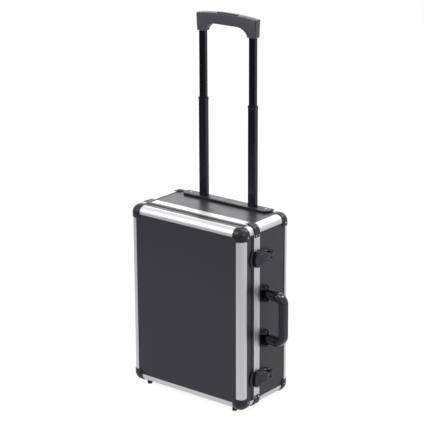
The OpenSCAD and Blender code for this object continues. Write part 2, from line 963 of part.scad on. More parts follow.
// The grip from above: narrow at the pin and wide at the bar, which is fluted.
module handle_plan() {
  flare = handle_reach - bar_t - 8;
  difference() {
    union() {
      circle(r = eye_r);
      polygon([
        [0, -eye_r], [flare, -bar_w / 2], [handle_reach - 5, -bar_w / 2], [handle_reach, 5 - bar_w / 2],
        [handle_reach, bar_w / 2 - 5], [handle_reach - 5, bar_w / 2], [flare, bar_w / 2], [0, eye_r]
      ]);
    }
    for (i = [-1, 0, 1]) translate([handle_reach + 0.4, i * flute_pitch]) circle(r = flute_r);
  }
}

module side_handle() {
  color(plastic_black) place() right_side() translate([handle_out, handle_y, handle_z]) difference() {
    intersection() {
      rotate([90, 0, 0]) linear_extrude(2 * bar_w, center = true) handle_front();
      linear_extrude(4 * handle_half, center = true) handle_plan();
    }
    translate([0, 0, -2 * handle_half]) cylinder(r = handle_pin_r + pin_slip, h = 4 * handle_half);
  }
}

// The telescopic handle.

module at_tubes() {
  for (s = [-1, 1]) translate([s * tube_x, tube_y, 0]) children();
}

// A closed ring section between two rounded rectangles.
module tube_section(w, d, t, r) {
  difference() {
    rounded(w, d, r);
    rounded(w - 2 * t, d - 2 * t, r - t);
  }
}

module cover_plate() {
  y1 = plate_y;
  y0 = y1 - plate_d;
  x1 = plate_l / 2;
  color(tube_black) place() difference() {
    translate([0, 0, floor_z]) linear_extrude(plate_z - floor_z) polygon([
      [-x1 + plate_cut, y0], [x1 - plate_cut, y0], [x1, y0 + plate_cut], [x1, y1], [-x1, y1],
      [-x1, y0 + plate_cut]
    ]);
    // It steps up over the rear profile, and its rear edge is bevelled.
    translate([-case_w / 2, 0, 0]) along_x(case_w) {
      translate([case_d - prof_w, 0]) square([big, case_h]);
      polygon([[y1 - plate_bevel, plate_z + 1], [y1 + 1, plate_z + 1], [y1 + 1, plate_z - plate_bevel - 1]]);
    }
    at_tubes() translate([0, 0, case_h - bush_h]) linear_extrude(2 * bush_h)
      rounded(bore_w, bore_d, mid_r + bush_t);
  }
}

module cover_plate_screws() {
  color(steel) place() for (s = [-1, 1]) translate([s * screw_x, screw_y, plate_z]) dome(screw_r, screw_h);
}

module outer_tubes() {
  color(steel) place() at_tubes() translate([0, 0, outer_bottom]) linear_extrude(floor_z - outer_bottom)
    tube_section(outer_w, outer_d, outer_t, mid_r + bush_t + outer_t);
}

module tube_bushes() {
  color(plastic_black) place() at_tubes() translate([0, 0, plate_z - bush_h]) linear_extrude(bush_h)
    tube_section(bore_w, bore_d, bush_t, mid_r + bush_t);
}

// Two cross bars, which fit between the wheel housings, tie the fixed tubes to the back panel.
module tube_brackets() {
  half = wheel_x - housing_half - bracket_gap;
  y0 = tube_y - outer_d / 2 - 3;
  color(steel) place() difference() {
    for (z = [outer_bottom - 5, bracket_up]) translate([-half, y0, z])
      cube([2 * half, case_d - slot_in - y0, bracket_h]);
    at_tubes() translate([0, 0, outer_bottom]) linear_extrude(big)
      rounded(outer_w, outer_d, mid_r + bush_t + outer_t);
  }
}

module lock_holes(r) {
  for (s = [-1, 1]) translate([s * tube_x, tube_y, lock_z]) rotate([0, s * 90, 0]) cylinder(r = r, h = mid_w);
}

module middle_tubes() {
  color(tube_black) place() difference() {
    at_tubes() translate([0, 0, mid_bottom]) linear_extrude(collar_z - mid_bottom)
      tube_section(mid_w, mid_d, tube_t, mid_r);
    lock_holes(lock_r + lock_slip);
  }
}

module middle_collars() {
  color(plastic_black) place() at_tubes() {
    translate([0, 0, collar_z]) linear_extrude(collar_h) difference() {
      rounded(mid_w + 2 * collar_over, mid_d + 2 * collar_over, mid_r);
      rounded(inner_w + 2 * slip, inner_d + 2 * slip, mid_r - tube_t);
    }
    translate([0, 0, collar_z - skirt_h]) linear_extrude(skirt_h)
      tube_section(cav_w, cav_d, stage_gap - slip, mid_r - tube_t);
  }
}

module middle_guides() {
  color(plastic_black) place() at_tubes() translate([0, 0, mid_bottom]) linear_extrude(guide_h)
    tube_section(bore_w - 2 * slip, bore_d - 2 * slip, bush_t, mid_r + bush_t);
}

module inner_tubes() {
  color(tube_black) place() difference() {
    at_tubes() translate([0, 0, inner_bottom]) linear_extrude(inner_top - inner_bottom)
      tube_section(inner_w, inner_d, tube_t, mid_r - tube_t);
    lock_holes(lock_r);
  }
}

// A sleeve round the end of the inner tube and a plug inside it, bored for the push rod.
module inner_guides() {
  color(plastic_black) place() difference() {
    at_tubes() translate([0, 0, inner_bottom]) {
      linear_extrude(guide_h) tube_section(cav_w - 2 * slip, cav_d - 2 * slip, stage_gap - slip, mid_r - tube_t);
      linear_extrude(plug_h) difference() {
        rounded(core_w, core_d, mid_r - 2 * tube_t);
        circle(r = rod_r + rod_slip);
      }
    }
    lock_holes(lock_r);
  }
}

module lock_pins() {
  color(steel) place() for (s = [-1, 1]) translate([s * (tube_x + lock_in), tube_y, lock_z])
    rotate([0, s * 90, 0]) cylinder(r = lock_r, h = cav_w / 2 - slip - lock_in);
}

// The grip from the front: an arched bar with a collar round each tube.
module grip_front() {
  difference() {
    intersection() {
      polygon([
        [-grip_half + grip_taper, grip_z], [grip_half - grip_taper, grip_z],
        [grip_half, grip_top], [-grip_half, grip_top]
      ]);
      translate([0, grip_top - arch_r]) circle(r = arch_r, $fn = 128);
    }
    grip_under();
  }
}

// The finger space: an arch of a large radius between the collars.
module grip_under() {
  half = tube_x - collar_half;
  translate([-half, grip_z - 1]) square([2 * half, collar_up + 1]);
  translate([0, grip_z - under_drop]) intersection() {
    union() {
      for (s = [-1, 1]) translate([s * under_x, 0]) circle(r = arch_under_r);
      square([2 * under_x, 2 * arch_under_r], center = true);
    }
    square([2 * half, big], center = true);
  }
}

// What is hollow inside the grip: the tubes, the yoke's channel, the button's slot and the spring's pocket.
// The channel is open to the front, under the cover.
module grip_hollows() {
  at_tubes() translate([0, 0, grip_z - 1]) linear_extrude(inner_top - grip_z + 1)
    rounded(inner_w, inner_d, mid_r - tube_t);
  translate([0, tube_y, 0]) {
    translate([-yoke_half - 1, cover_t - grip_d / 2, inner_top])
      cube([2 * yoke_half + 2, (yoke_d + grip_d) / 2 + yoke_gap - cover_t, yoke_z + yoke_h + yoke_gap - inner_top]);
    translate([-button_half - button_gap, -button_d / 2 - button_gap, inner_top])
      cube([2 * (button_half + button_gap), button_d + 2 * button_gap, big]);
    translate([0, 0, spring_z]) cylinder(r = spring_r + 1, h = inner_top - spring_z + 1);
  }
}

module grip_front_shell() {
  color(grip_grey) place() translate([0, tube_y - grip_d / 2, 0]) along_y(cover_t) grip_front();
}

module grip_rear_shell() {
  color(grip_grey) place() difference() {
    translate([0, tube_y - grip_d / 2 + cover_t, 0]) along_y(grip_d - cover_t) grip_front();
    grip_hollows();
  }
}

// The button and its yoke, which reaches to both push rods.
module release_button() {
  color(plastic_black) place() translate([0, tube_y, 0]) {
    translate([-yoke_half, -yoke_d / 2, yoke_z]) cube([2 * yoke_half, yoke_d, yoke_h]);
    translate([0, -button_d / 2, 0]) along_y(button_d) intersection() {
      translate([0, grip_top + button_up - arch_r]) circle(r = arch_r, $fn = 128);
      translate([-button_half, yoke_z]) square([2 * button_half, big]);
    }
  }
}

module push_rods() {
  color(steel) place() at_tubes() translate([0, 0, rod_z]) cylinder(r = rod_r, h = yoke_z - rod_z);
}

// The button's spring, from the floor of its pocket to the yoke: rings joined by short posts.
module button_spring() {
  pitch = (yoke_z - spring_z - 2 * spring_wire) / spring_turns;
  mean_r = spring_r - spring_wire;
  color(steel) place() translate([0, tube_y, spring_z + spring_wire]) {
    for (i = [0 : spring_turns]) translate([0, 0, i * pitch])
      rotate_extrude() translate([mean_r, 0]) circle(r = spring_wire, $fn = 24);
    for (i = [0 : spring_turns - 1]) rotate(180 * i) translate([mean_r, 0, i * pitch])
      cylinder(r = 0.8 * spring_wire, h = pitch, $fn = 24);
  }
}

// The wheels.

module at_wheels() {
  for (s = [-1, 1]) translate([s * wheel_x, wheel_y, wheel_z]) children();
}

// A housing let into the rear bottom edge, open to the rear and below.
module wheel_housings() {
  depth = case_d - wheel_y;
  color(plastic_black) place() difference() {
    at_wheels() translate([-housing_half, 0, 0]) difference() {
      translate([0, -housing_r, -wheel_z]) cube([2 * housing_half, housing_r + depth, housing_r + wheel_z]);
      translate([housing_t, 0, 0]) along_x(2 * (housing_half - housing_t)) {
        circle(r = cavity_r);
        translate([-cavity_r, -big]) square([cavity_r + big, big]);
        translate([0, -big]) square([big, big + cavity_r]);
      }
      translate([-1, depth, -wheel_z]) along_x(2 * housing_half + 2) difference() {
        translate([-prof_r, -1]) square([prof_r + 1, prof_r + 1]);
        translate([-prof_r, prof_r]) circle(r = prof_r);
      }
    }
    at_wheels() translate([-housing_half - 1, 0, 0]) rotate([0, 90, 0])
      cylinder(r = axle_r, h = 2 * housing_half + 2);
  }
}

module axles() {
  color(steel) place() at_wheels() translate([-housing_half, 0, 0]) rotate([0, 90, 0])
    cylinder(r = axle_r, h = 2 * housing_half);
}

// Half section of a tyre, rounded at its edges.
module tyre_section() {
  half = wheel_w / 2;
  translate([hub_r, -half + 1]) square([wheel_r - hub_r - tyre_round, wheel_w - 2]);
  translate([wheel_r - tyre_round - 1, 0]) rounded(2 * tyre_round + 2, wheel_w, tyre_round);
}

module tyre(s) {
  translate([s * wheel_x, wheel_y, wheel_z]) rotate([0, 90, 0]) rotate_extrude() intersection() {
    tyre_section();
    translate([hub_r, -wheel_w]) square([big, 2 * wheel_w]);
  }
}

// A hub with a rim, a boss and spokes.
module hub(s) {
  half = wheel_w / 2;
  boss_r = axle_r + 4;
  rim_t = 3;
  translate([s * wheel_x, wheel_y, wheel_z]) rotate([0, 90, 0]) difference() {
    union() {
      translate([0, 0, -half + 1]) difference() {
        cylinder(r = hub_r, h = wheel_w - 2);
        translate([0, 0, -1]) cylinder(r = hub_r - rim_t, h = wheel_w);
      }
      translate([0, 0, -half]) cylinder(r = boss_r, h = wheel_w);
      for (i = [0 : spoke_n - 1]) rotate(i * 360 / spoke_n) translate([boss_r - 1, -2, -half + 4])
        cube([hub_r - rim_t - boss_r + 2, 4, wheel_w - 8]);
    }
    translate([0, 0, -wheel_w]) cylinder(r = axle_r + hub_slip, h = 2 * wheel_w);
  }
}

module left_hub() {
  color(grip_grey) place() hub(-1);
}

module right_hub() {
  color(grip_grey) place() hub(1);
}

module left_tyre() {
  color(rubber_black) place() tyre(-1);
}

module right_tyre() {
  color(rubber_black) place() tyre(1);
}

lid_panel();
lid_side_panels();
lid_front_profiles();
lid_edge_profiles();
lid_rim_profiles();
lid_bead();
lid_ball_corners();
lid_rim_corners();
lid_rivets();
lid_foam();
front_feet();
upper_keeper();
lower_keeper();
lid_hinge_leaves();
back_panel();
top_panel();
bottom_panel();
side_panels();
rear_profiles();
body_edge_profiles();
body_rim_profiles();
body_ball_corners();
body_rim_corners();
body_rivets();
false_back();
body_hinge_leaves();
hinge_pins();
upper_latch_base();
lower_latch_base();
latch_pins();
upper_latch_lever();
lower_latch_lever();
upper_handle_mount();
lower_handle_mount();
handle_pins();
side_handle();
cover_plate();
cover_plate_screws();
outer_tubes();
tube_bushes();
tube_brackets();
middle_tubes();
middle_collars();
middle_guides();
inner_tubes();
inner_guides();
lock_pins();
grip_front_shell();
grip_rear_shell();
release_button();
push_rods();
button_spring();
wheel_housings();
axles();
left_hub();
left_tyre();
right_hub();
right_tyre();
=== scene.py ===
"""Looks of the hard tool case: finishes, rounded mouldings, rivets, lining, studio and camera."""
import json
import math

import bmesh
import bpy
from mathutils import Matrix, Vector


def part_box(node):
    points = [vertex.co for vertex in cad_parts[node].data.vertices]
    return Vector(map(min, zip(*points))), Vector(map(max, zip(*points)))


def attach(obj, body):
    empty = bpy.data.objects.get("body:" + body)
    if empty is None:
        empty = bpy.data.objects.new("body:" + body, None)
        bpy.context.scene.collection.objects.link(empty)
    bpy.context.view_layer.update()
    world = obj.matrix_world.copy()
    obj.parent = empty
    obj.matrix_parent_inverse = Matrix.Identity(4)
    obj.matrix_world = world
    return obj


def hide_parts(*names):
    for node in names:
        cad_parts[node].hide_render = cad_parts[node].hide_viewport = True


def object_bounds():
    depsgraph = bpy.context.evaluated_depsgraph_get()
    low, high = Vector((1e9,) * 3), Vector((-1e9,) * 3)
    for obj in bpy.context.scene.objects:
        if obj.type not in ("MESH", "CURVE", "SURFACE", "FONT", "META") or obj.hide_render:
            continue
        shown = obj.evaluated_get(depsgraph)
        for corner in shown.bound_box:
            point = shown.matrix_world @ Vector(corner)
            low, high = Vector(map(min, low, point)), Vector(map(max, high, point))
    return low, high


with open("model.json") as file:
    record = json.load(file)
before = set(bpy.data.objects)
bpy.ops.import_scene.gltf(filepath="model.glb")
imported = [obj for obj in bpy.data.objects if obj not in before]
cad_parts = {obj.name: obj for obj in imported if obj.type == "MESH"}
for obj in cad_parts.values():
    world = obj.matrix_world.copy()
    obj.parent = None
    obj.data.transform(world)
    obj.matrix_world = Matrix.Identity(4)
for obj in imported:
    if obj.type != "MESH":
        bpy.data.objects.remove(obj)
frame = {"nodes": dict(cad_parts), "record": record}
cad_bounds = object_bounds()
NODES = frame["nodes"]
BODY_OF = {n: body for body, names in frame["record"]["behaviour"]["bodies"].items() for n in names}
MM = 0.001

# Places are given in millimetres from the middle of the case's width, its front face and its underside.
CASE_LO, CASE_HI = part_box("lid_front_profiles")
CASE_W = (CASE_HI.x - CASE_LO.x) / MM
CASE_H = (CASE_HI.z - CASE_LO.z) / MM
PROFILE_W = 19.0
FLOOR_Z = cad_bounds[0].z


def spot(x, y, z):
    middle = (CASE_LO.x + CASE_HI.x) / 2
    return Vector((middle + x * MM, CASE_LO.y + y * MM, CASE_LO.z + z * MM))


# Small helpers


def srgb(code):
    """An sRGB hex colour as linear RGBA."""
    values = [int(code[i : i + 2], 16) / 255 for i in (1, 3, 5)]
    return [v / 12.92 if v <= 0.04045 else ((v + 0.055) / 1.055) ** 2.4 for v in values] + [1.0]


def add(tree, kind, links=None, **settings):
    """Add a node to a tree, set its properties and sockets, and link its inputs."""
    made = tree.nodes.new(kind)
    for key, value in settings.items():
        if hasattr(made, key):
            setattr(made, key, value)
        else:
            made.inputs[key.replace("_", " ")].default_value = value
    for key, source in (links or {}).items():
        tree.links.new(source, made.inputs[key])
    return made


def material(name, base, roughness, metallic=0.0, **more):
    """A material with a Principled shader; returns it with its tree and shader."""
    made = bpy.data.materials.new(name)
    made.use_nodes = True
    tree = made.node_tree
    shader = tree.nodes["Principled BSDF"]
    shader.inputs["Base Color"].default_value = srgb(base)
    shader.inputs["Roughness"].default_value = roughness
    shader.inputs["Metallic"].default_value = metallic
    for key, value in more.items():
        shader.inputs[key.replace("_", " ")].default_value = value
    return made, tree, shader


def object_coords(tree, scale=(1, 1, 1)):
    coords = add(tree, "ShaderNodeTexCoord")
    return add(tree, "ShaderNodeMapping", {"Vector": coords.outputs["Object"]}, Scale=scale)


def noise(tree, vector, size_mm, detail=3.0):
    """Noise with features of about one size."""
    return add(tree, "ShaderNodeTexNoise", {"Vector": vector}, Scale=1 / (size_mm * MM), Detail=detail)


def ranged(tree, source, low, high, start=0.3, end=0.7):
    return add(
        tree, "ShaderNodeMapRange", {"Value": source},
        From_Min=start, From_Max=end, To_Min=low, To_Max=high,
    ).outputs["Result"]


def bumped(tree, shader, height, depth_mm, strength=1.0):
    bump = add(tree, "ShaderNodeBump", {"Height": height}, Strength=strength, Distance=depth_mm * MM)
    tree.links.new(bump.outputs["Normal"], shader.inputs["Normal"])


# Materials

# The black finishes reflect with a faint violet cast.
VIOLET_SHEEN = srgb("#ece8f8")


def anodised_profile(name, along):
    """Extruded aluminium, satin anodised: a soft metal sheen with faint die lines along its length."""
    made, tree, shader = material(name, "#d3d3d6", 0.36, metallic=1.0)
    line_pitch = 1 / (1.2 * MM)
    stretch = {
        "x": (0.4, line_pitch, line_pitch),
        "y": (line_pitch, 0.4, line_pitch),
        "z": (line_pitch, line_pitch, 0.4),
    }
    coords = add(tree, "ShaderNodeTexCoord")
    if along == "frame":
        # Posts run along Z beside the case's sides, and rails along X between them.
        centre = spot(0, 0, 0).x
        parts = add(tree, "ShaderNodeSeparateXYZ", {"Vector": coords.outputs["Object"]})
        shifted = add(tree, "ShaderNodeMath", {0: parts.outputs["X"]}, operation="SUBTRACT")
        shifted.inputs[1].default_value = centre
        away = add(tree, "ShaderNodeMath", {0: shifted.outputs[0]}, operation="ABSOLUTE")
        post = add(tree, "ShaderNodeMath", {0: away.outputs[0]}, operation="GREATER_THAN")
        post.inputs[1].default_value = (CASE_W / 2 - PROFILE_W) * MM
        vectors = [
            add(tree, "ShaderNodeMapping", {"Vector": coords.outputs["Object"]}, Scale=stretch[axis])
            for axis in "xz"
        ]
        vector = add(
            tree, "ShaderNodeMix",
            {"Factor": post.outputs[0], 4: vectors[0].outputs[0], 5: vectors[1].outputs[0]},
            data_type="VECTOR",
        ).outputs[1]
    else:
        vector = add(
            tree, "ShaderNodeMapping", {"Vector": coords.outputs["Object"]}, Scale=stretch[along]
        ).outputs[0]
    lines = add(tree, "ShaderNodeTexNoise", {"Vector": vector}, Scale=1.0, Detail=2.0)
    tree.links.new(ranged(tree, lines.outputs["Fac"], 0.4, 0.5), shader.inputs["Roughness"])
    bumped(tree, shader, lines.outputs["Fac"], 0.004, 0.5)
    return made


def panel_laminate():
    """ABS-faced plywood, rolled with a fine grain: near black with a satin, pale reflection."""
    made, tree, shader = material("panel_laminate", "#242328", 0.38, Specular_Tint=VIOLET_SHEEN)
    vector = object_coords(tree).outputs[0]
    grain = noise(tree, vector, 1.4, 4.0)
    patches = noise(tree, vector, 60, 2.0)
    tree.links.new(ranged(tree, patches.outputs["Fac"], 0.34, 0.42), shader.inputs["Roughness"])
    bumped(tree, shader, grain.outputs["Fac"], 0.05, 0.8)
    return made


def moulded_abs(name, base, roughness, grain_mm=0.9, depth=0.01):
    """Moulded ABS: even colour and a satin skin with a spark-eroded grain."""
    made, tree, shader = material(name, base, roughness, Specular_Tint=VIOLET_SHEEN)
    vector = object_coords(tree).outputs[0]
    grain = noise(tree, vector, grain_mm, 3.0)
    patches = noise(tree, vector, 18, 2.0)
    rough = ranged(tree, patches.outputs["Fac"], roughness - 0.04, roughness + 0.05)
    tree.links.new(rough, shader.inputs["Roughness"])
    bumped(tree, shader, grain.outputs["Fac"], depth, 0.5)
    return made


def grip_moulding():
    """Matt polypropylene shells, with painted shade along the groove between them."""
    made = moulded_abs("matt_pp_grip", "#434248", 0.42)
    tree = made.node_tree
    coords = add(tree, "ShaderNodeTexCoord")
    parts = add(tree, "ShaderNodeSeparateXYZ", {"Vector": coords.outputs["Object"]})
    from_seam = add(tree, "ShaderNodeMath", {0: parts.outputs["Y"]}, operation="SUBTRACT")
    from_seam.inputs[1].default_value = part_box("grip_front_shell")[1].y
    away = add(tree, "ShaderNodeMath", {0: from_seam.outputs[0]}, operation="ABSOLUTE")
    # Painted shade: the base colour is near black within 1.4 mm of the seam between the shells, fading out by
    # 2.3 mm.
    clear = ranged(tree, away.outputs[0], 0.0, 1.0, 1.4 * MM, 2.3 * MM)
    shade = add(tree, "ShaderNodeMix", {0: clear}, data_type="RGBA")
    shade.inputs[6].default_value = srgb("#08080a")
    shade.inputs[7].default_value = srgb("#434248")
    tree.links.new(shade.outputs[2], tree.nodes["Principled BSDF"].inputs["Base Color"])
    return made


def black_tube():
    """Aluminium tube, drawn along its length and powder coated satin black."""
    made, tree, shader = material("satin_black_tube", "#09080d", 0.22, Specular_Tint=VIOLET_SHEEN)
    vector = object_coords(tree, (900, 900, 0.5)).outputs[0]
    lines = add(tree, "ShaderNodeTexNoise", {"Vector": vector}, Scale=1.0, Detail=2.0)
    tree.links.new(ranged(tree, lines.outputs["Fac"], 0.17, 0.27), shader.inputs["Roughness"])
    return made


def zinc_steel():
    """Zinc-plated steel: a grey metal with small bright and dull patches."""
    made, tree, shader = material("zinc_plated_steel", "#b4b5b8", 0.34, metallic=1.0)
    vector = object_coords(tree).outputs[0]
    patches = noise(tree, vector, 2.5, 3.0)
    tree.links.new(ranged(tree, patches.outputs["Fac"], 0.25, 0.45), shader.inputs["Roughness"])
    return made


def nickel_rivet():
    """Nickel-plated rivet heads: bright and slightly worn."""
    made, tree, shader = material("nickel_rivet", "#cfd0d2", 0.2, metallic=1.0)
    vector = object_coords(tree).outputs[0]
    wear = noise(tree, vector, 0.8, 3.0)
    tree.links.new(ranged(tree, wear.outputs["Fac"], 0.14, 0.3), shader.inputs["Roughness"])
    return made


def rubber():
    """Solid rubber: dull and dark, with a fine dusty mottle."""
    made, tree, shader = material("solid_rubber", "#151516", 0.7)
    vector = object_coords(tree).outputs[0]
    dust = noise(tree, vector, 3.0, 4.0)
    tree.links.new(ranged(tree, dust.outputs["Fac"], 0.62, 0.8), shader.inputs["Roughness"])
    bumped(tree, shader, dust.outputs["Fac"], 0.03, 0.5)
    return made


def open_foam():
    """Open-cell polyether foam: matt charcoal with small pores, with painted shade in the pores."""
    made, tree, shader = material("open_cell_foam", "#2b2b2e", 0.95)
    vector = object_coords(tree).outputs[0]
    pores = add(tree, "ShaderNodeTexVoronoi", {"Vector": vector}, Scale=1 / (1.5 * MM))
    bumped(tree, shader, pores.outputs["Distance"], 0.4, 0.8)
    # Painted shade: the colour darkens towards each pore's middle, where the bump sinks.
    shade = add(tree, "ShaderNodeMix", {0: pores.outputs["Distance"]}, data_type="RGBA")
    shade.inputs[6].default_value = srgb("#161618")
    shade.inputs[7].default_value = srgb("#3a3a3e")
    tree.links.new(shade.outputs[2], shader.inputs["Base Color"])
    return made


def needle_felt():
    """Needled polyester felt lining: matt grey with short tangled fibres."""
    made, tree, shader = material("needle_felt", "#2f3033", 0.95, Sheen_Weight=0.3)
    vector = object_coords(tree).outputs[0]
    fibres = noise(tree, vector, 1.1, 6.0)
    bumped(tree, shader, fibres.outputs["Fac"], 0.35, 0.8)
    # Painted shade: the colour darkens where the fibre bump sinks, between the fibres.
    shade = add(tree, "ShaderNodeMix", {0: fibres.outputs["Fac"]}, data_type="RGBA")
    shade.inputs[6].default_value = srgb("#1f2022")
    shade.inputs[7].default_value = srgb("#46474c")
    tree.links.new(shade.outputs[2], shader.inputs["Base Color"])
    return made


FRAME_METAL = anodised_profile("anodised_aluminium_frame", "frame")
SHORT_METAL = anodised_profile("anodised_aluminium_short", "y")
PANEL = panel_laminate()
CORNER_ABS = moulded_abs("moulded_abs_corner", "#111014", 0.34)
LATCH_NYLON = moulded_abs("moulded_nylon_latch", "#0b0a0f", 0.16, 0.9, 0.004)
# The levers take a lighter copy of the black latch nylon: painted sheen for the light their flat faces catch.
LEVER_NYLON = moulded_abs("moulded_nylon_lever", "#1f1e24", 0.22, 0.9, 0.004)
HANDLE_PP = moulded_abs("polished_pp_handle", "#08070c", 0.15, 1.5, 0.003)
GRIP_PP = grip_moulding()
BUTTON_ABS = moulded_abs("satin_abs_button", "#19191c", 0.3)
PLATE_ABS = moulded_abs("satin_abs_plate", "#161518", 0.4)
HUB_PP = moulded_abs("matt_pp_hub", "#3a3a3d", 0.45)
BEAD_PVC = moulded_abs("pvc_bead", "#131316", 0.34)
TUBE = black_tube()
STEEL = zinc_steel()
RIVET = nickel_rivet()
RUBBER = rubber()
FOAM = open_foam()
FELT = needle_felt()

FINISHES = {
    FRAME_METAL: ["lid_front_profiles", "lid_rim_profiles", "rear_profiles", "body_rim_profiles"],
    SHORT_METAL: ["lid_edge_profiles", "body_edge_profiles"],
    PANEL: ["lid_panel", "lid_side_panels", "back_panel", "top_panel", "bottom_panel", "side_panels"],
    CORNER_ABS: [
        "lid_ball_corners", "lid_rim_corners", "body_ball_corners", "body_rim_corners",
        "upper_keeper", "lower_keeper",
    ],
    BEAD_PVC: ["lid_bead"],
    LATCH_NYLON: [
        "upper_latch_base", "lower_latch_base", "upper_handle_mount", "lower_handle_mount",
        "middle_guides", "inner_guides", "tube_bushes", "wheel_housings",
    ],
    LEVER_NYLON: ["upper_latch_lever", "lower_latch_lever"],
    HANDLE_PP: ["side_handle"],
    GRIP_PP: ["grip_front_shell", "grip_rear_shell"],
    BUTTON_ABS: ["release_button"],
    PLATE_ABS: ["cover_plate"],
    HUB_PP: ["left_hub", "right_hub"],
    TUBE: ["middle_tubes", "inner_tubes", "middle_collars"],
    STEEL: [
        "lid_hinge_leaves", "body_hinge_leaves", "hinge_pins", "latch_pins", "handle_pins",
        "outer_tubes", "tube_brackets", "lock_pins", "push_rods", "button_spring", "axles",
        "cover_plate_screws",
    ],
    RIVET: ["lid_rivets", "body_rivets"],
    RUBBER: ["front_feet", "left_tyre", "right_tyre"],
    FOAM: ["lid_foam"],
    FELT: ["false_back"],
}


def paint_frame():
    for finish, names in FINISHES.items():
        for name in names:
            slots = NODES[name].data.materials
            slots.clear()
            slots.append(finish)


def finish_of(name):
    return NODES[name].data.materials[0]


# Pieces


def link(name, data):
    made = bpy.data.objects.new(name, data)
    bpy.context.scene.collection.objects.link(made)
    return made


def softened(name, width_mm, segments=3):
    """A copy of a CAD node with rounded edges, which stands for the node."""
    work = bmesh.new()
    work.from_mesh(NODES[name].data)
    bmesh.ops.remove_doubles(work, verts=work.verts, dist=0.005 * MM)
    bmesh.ops.dissolve_limit(work, angle_limit=math.radians(0.5), verts=work.verts, edges=work.edges)
    data = bpy.data.meshes.new(name + "_rounded")
    work.to_mesh(data)
    work.free()
    data.materials.clear()
    data.materials.append(finish_of(name))
    data.shade_smooth()
    piece = link(name + "_rounded", data)
    bevel = piece.modifiers.new("rounded_edges", "BEVEL")
    bevel.width = width_mm * MM
    bevel.segments = segments
    bevel.limit_method = "ANGLE"
    bevel.angle_limit = math.radians(35)
    bevel.harden_normals = True
    bevel.use_clamp_overlap = name != "grip_front_shell"
    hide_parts(name)
    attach(piece, BODY_OF[name])
    return piece


SOFTENED = {
    "lid_rim_corners": 0.6, "body_rim_corners": 0.6, "upper_keeper": 0.5, "lower_keeper": 0.5,
    "upper_latch_base": 0.5, "lower_latch_base": 0.5, "upper_latch_lever": 0.7,
    "lower_latch_lever": 0.7, "upper_handle_mount": 0.9, "lower_handle_mount": 0.9,
    "cover_plate": 1.2, "middle_collars": 0.4, "release_button": 0.8, "grip_front_shell": 1.4,
    "grip_rear_shell": 2.0, "front_feet": 1.0, "lid_bead": 0.4, "lid_hinge_leaves": 0.3,
    "body_hinge_leaves": 0.3, "wheel_housings": 0.8, "left_hub": 0.6, "right_hub": 0.6,
    "left_tyre": 1.2, "right_tyre": 1.2, "tube_bushes": 0.3,
}


def carry_handle():
    """The side handle: one moulding, thin at its pins and full at its fluted bar."""
    low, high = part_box("side_handle")
    eye, arm, bar, wide, bend = 6.7, 12.8, 8.0, 14.8, 19.0
    reach = (high.x - low.x) / MM - eye
    half = (high.z - low.z) / MM / 2
    axis_x, axis_y, axis_z = low.x + eye * MM, (low.y + high.y) / 2, (low.z + high.z) / 2
    bar_x, arm_z = reach - bar, half - arm
    flare = reach - 2 * bar - 8

    # One arm, the bend and half the bar; the other half is its mirror image.
    path = []
    for i in range(7):
        out = -eye * math.cos(math.pi / 2 * i / 6)
        path.append((out, arm_z, 0.0, 1.0, arm * 0.97, max(math.sqrt(max(eye * eye - out * out, 0)), 0.8), 0.0))
    for i in range(1, 13):
        share = i / 12
        out = share * (bar_x - bend)
        grow = min(out / flare, 1.0)
        path.append((out, arm_z, 0.0, 1.0, arm * (0.97 - 0.09 * share), eye + (wide - eye) * grow, 0.0))
    for i in range(1, 17):
        turn = math.pi / 2 * i / 16
        x = bar_x - bend + bend * math.sin(turn)
        z = arm_z - bend + bend * math.cos(turn)
        thick = arm * 0.88 + (bar - arm * 0.88) * i / 16
        grow = min(x / flare, 1.0)
        path.append((x, z, math.sin(turn), math.cos(turn), thick, eye + (wide - eye) * grow, 0.25 * i / 16))
    steps = 22
    for i in range(1, steps + 1):
        z = (arm_z - bend) * (1 - i / steps)
        path.append((bar_x, z, 1.0, 0.0, bar, wide, 0.25 + 0.75 * min(i / 6, 1.0)))
    whole = path + [(x, -z, nx, -nz, t, w, f) for x, z, nx, nz, t, w, f in reversed(path[:-1])]

    around, power, pitch = 48, 2.0 / 2.7, 7.0
    work = bmesh.new()
    rings = []
    for x, z, nx, nz, thick, side, flute in whole:
        ring = []
        for k in range(around):
            angle = 2 * math.pi * k / around
            c, s = math.cos(angle), math.sin(angle)
            across = side * math.copysign(abs(s) ** power, s)
            out = thick * math.copysign(abs(c) ** power, c)
            if c > 0:
                out -= 0.7 * flute * c * (0.5 + 0.5 * math.cos(2 * math.pi * across / pitch))
            place = Vector((axis_x, axis_y, axis_z)) + MM * Vector((x + nx * out, across, z + nz * out))
            ring.append(work.verts.new(place))
        rings.append(ring)
    for first, second in zip(rings, rings[1:]):
        for k in range(around):
            work.faces.new((first[k], first[(k + 1) % around], second[(k + 1) % around], second[k]))
    work.faces.new(rings[0])
    work.faces.new(rings[-1])
    bmesh.ops.recalc_face_normals(work, faces=work.faces)
    data = bpy.data.meshes.new("carry_handle")
    work.to_mesh(data)
    work.free()
    data.materials.append(HANDLE_PP)
    data.shade_smooth()
    piece = link("carry_handle", data)
    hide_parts("side_handle")
    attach(piece, "side_handle")


